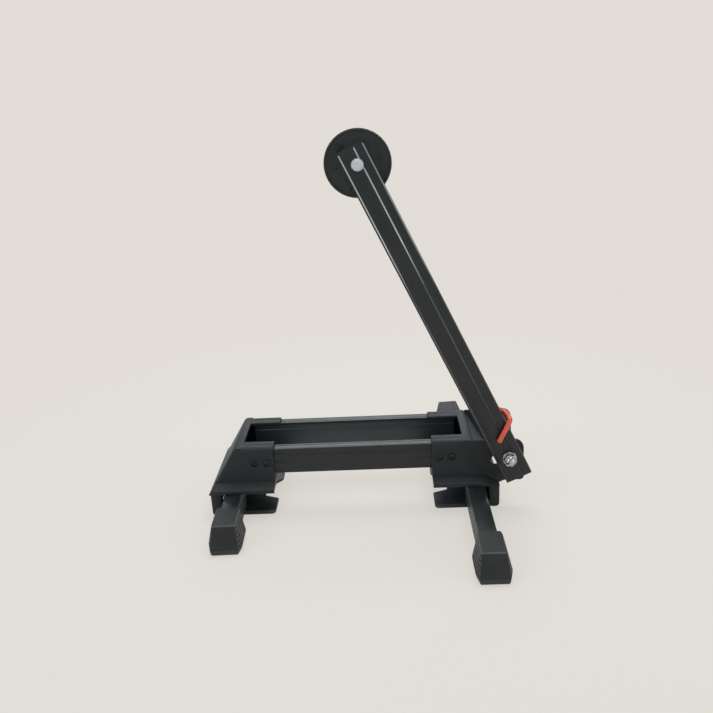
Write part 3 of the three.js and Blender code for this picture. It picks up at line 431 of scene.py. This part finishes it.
# ---------------------------------------------------------------- surfaces of the CAD pieces
def smooth_group():
    """Geometry nodes that shade smooth except across edges sharper than 32 degrees."""
    group = bpy.data.node_groups.new("smooth by edge angle", "GeometryNodeTree")
    group.interface.new_socket("Geometry", in_out="INPUT", socket_type="NodeSocketGeometry")
    group.interface.new_socket("Geometry", in_out="OUTPUT", socket_type="NodeSocketGeometry")
    source = group.nodes.new("NodeGroupInput")
    result = group.nodes.new("NodeGroupOutput")
    angle = group.nodes.new("GeometryNodeInputMeshEdgeAngle")
    sharp = group.nodes.new("FunctionNodeCompare")
    sharp.data_type = "FLOAT"
    sharp.operation = "GREATER_THAN"
    sharp.inputs["B"].default_value = math.radians(32)
    faces = group.nodes.new("GeometryNodeSetShadeSmooth")
    faces.domain = "FACE"
    edges = group.nodes.new("GeometryNodeSetShadeSmooth")
    edges.domain = "EDGE"
    edges.inputs["Shade Smooth"].default_value = False
    links = group.links
    links.new(angle.outputs["Unsigned Angle"], sharp.inputs["A"])
    links.new(source.outputs[0], faces.inputs["Geometry"])
    links.new(faces.outputs["Geometry"], edges.inputs["Geometry"])
    links.new(sharp.outputs["Result"], edges.inputs["Selection"])
    links.new(edges.outputs["Geometry"], result.inputs[0])
    return group


SMOOTH = smooth_group()


def dress(name, bevel, segments=3):
    """Give a carried-over CAD piece its material, rounded edges and smooth shading."""
    piece = NODES[name]
    piece.data.materials.clear()
    piece.data.materials.append(material_for(name))
    weld = piece.modifiers.new("weld", "WELD")
    weld.merge_threshold = 0.00001
    flat = piece.modifiers.new("flat faces", "DECIMATE")
    flat.decimate_type = "DISSOLVE"
    flat.angle_limit = math.radians(0.6)
    if bevel:
        edge = piece.modifiers.new("edges", "BEVEL")
        edge.width = bevel
        edge.segments = segments
        edge.limit_method = "ANGLE"
        edge.angle_limit = math.radians(34)
        edge.use_clamp_overlap = True
        edge.miter_outer = "MITER_ARC"
    shade = piece.modifiers.new("shading", "NODES")
    shade.node_group = SMOOTH


# width of the rounded edges, by how a piece's name ends
BEVELS = {
    "end_bracket": 0.0013, "floor_plate": 0.0004, "_foot": 0.0009, "rail": 0.00035, "_leg": 0.0005,
    "arm": 0.00045, "spoke_disc": 0.0004, "hinge_acorn_nut": 0.0006,
}


def bevel_for(name):
    """How wide a CAD piece's edges are rounded, in metres."""
    for ending, width in BEVELS.items():
        if name.endswith(ending):
            return width
    return 0.0003


for node_name in NODES:
    dress(node_name, bevel_for(node_name))


# ---------------------------------------------------------------- floor, light and camera
FLOOR_GLOW = 0.72  # share of the floor near the object that is plain backdrop colour to the camera


def studio():
    """A pale floor that shows the backdrop's colour with a faint soft shadow near the object."""
    s = Shader("pale floor")
    grain = s.noise(s.coord, 3, 3)
    tint = s.colours(grain, [(0.3, tuple(c * 0.995 for c in BACKDROP)), (0.7, BACKDROP)])
    s.finish(tint, s.spread(grain, 0.3, 0.7, 0.86, 0.94))
    reach = s.tree.nodes.new("ShaderNodeVectorMath")
    reach.operation = "LENGTH"
    s.link(s.coord, reach.inputs[0])
    glow = s.tree.nodes.new("ShaderNodeEmission")
    s.link(tint, glow.inputs["Color"])
    path = s.tree.nodes.new("ShaderNodeLightPath")
    seen = s.math("MAXIMUM", path.outputs["Is Camera Ray"], path.outputs["Is Glossy Ray"])
    seen = s.math("MAXIMUM", seen, path.outputs["Is Transmission Ray"])
    share = s.math("MULTIPLY", seen, s.spread(reach.outputs["Value"], 0.35, 1.1, FLOOR_GLOW, 1.0))
    blend = s.tree.nodes.new("ShaderNodeMixShader")
    s.link(share, blend.inputs[0])
    s.link(s.bsdf.outputs["BSDF"], blend.inputs[1])
    s.link(glow.outputs["Emission"], blend.inputs[2])
    s.link(blend.outputs[0], s.out.inputs["Surface"])
    bpy.ops.mesh.primitive_plane_add(size=14, location=(0, 0, -0.0004))
    floor = bpy.context.object
    floor.name = "studio_floor"
    floor.data.materials.append(s.material)

    world = bpy.data.worlds.new("studio")
    bpy.context.scene.world = world
    world.use_nodes = True
    tree = world.node_tree
    tree.nodes.clear()
    out = tree.nodes.new("ShaderNodeOutputWorld")
    fill = tree.nodes.new("ShaderNodeBackground")
    fill.inputs["Color"].default_value = (0.9, 0.95, 1.0, 1)
    fill.inputs["Strength"].default_value = 0.58
    seen = tree.nodes.new("ShaderNodeBackground")
    seen.inputs["Color"].default_value = (*BACKDROP, 1)
    mix = tree.nodes.new("ShaderNodeMixShader")
    path = tree.nodes.new("ShaderNodeLightPath")
    either = tree.nodes.new("ShaderNodeMath")
    either.operation = "MAXIMUM"
    tree.links.new(path.outputs["Is Camera Ray"], either.inputs[0])
    tree.links.new(path.outputs["Is Transmission Ray"], either.inputs[1])
    tree.links.new(either.outputs[0], mix.inputs[0])
    tree.links.new(fill.outputs[0], mix.inputs[1])
    tree.links.new(seen.outputs[0], mix.inputs[2])
    tree.links.new(mix.outputs[0], out.inputs["Surface"])


def softbox(name, place, target, size, power):
    """A rectangular lamp that looks at a target."""
    light = bpy.data.lights.new(name, "AREA")
    light.shape = "RECTANGLE"
    light.size, light.size_y = size
    light.energy = power
    lamp = bpy.data.objects.new(name, light)
    lamp.location = place
    aim = Vector(target) - Vector(place)
    lamp.rotation_euler = aim.to_track_quat("-Z", "Y").to_euler()
    bpy.context.scene.collection.objects.link(lamp)


def camera():
    """The photograph's own viewpoint."""
    forward = Vector((math.sin(YAW) * math.cos(PITCH), math.cos(YAW) * math.cos(PITCH), -math.sin(PITCH)))
    right = forward.cross(Vector((0, 0, 1))).normalized()
    up = right.cross(forward)
    level_right = right * math.cos(ROLL) - up * math.sin(ROLL)
    level_up = right * math.sin(ROLL) + up * math.cos(ROLL)
    data = bpy.data.cameras.new("photo")
    data.sensor_width = 36.0
    data.sensor_fit = "HORIZONTAL"
    data.lens = 36.0 * FOCAL_PX / IMAGE_WIDTH
    eye = bpy.data.objects.new("photo", data)
    turn = Matrix((level_right, level_up, -forward)).transposed().to_4x4()
    eye.matrix_world = Matrix.Translation(CAMERA_AT) @ turn
    bpy.context.scene.collection.objects.link(eye)
    bpy.context.scene.camera = eye


studio()
softbox("overhead", (0.1, 0.3, 2.2), (0, 0, 0.1), (1.8, 1.4), 24)
softbox("left front", (-1.9, -1.5, 1.3), (0, 0, 0.15), (1.1, 1.6), 10)
softbox("right front", (1.9, -1.3, 0.45), (0, 0, 0.2), (0.5, 1.2), 7)
softbox("back strip", (0, 2.2, 1.2), (0, 0, 0.1), (2.2, 0.30), 11)
camera()
bpy.context.scene.view_settings.view_transform = "Standard"
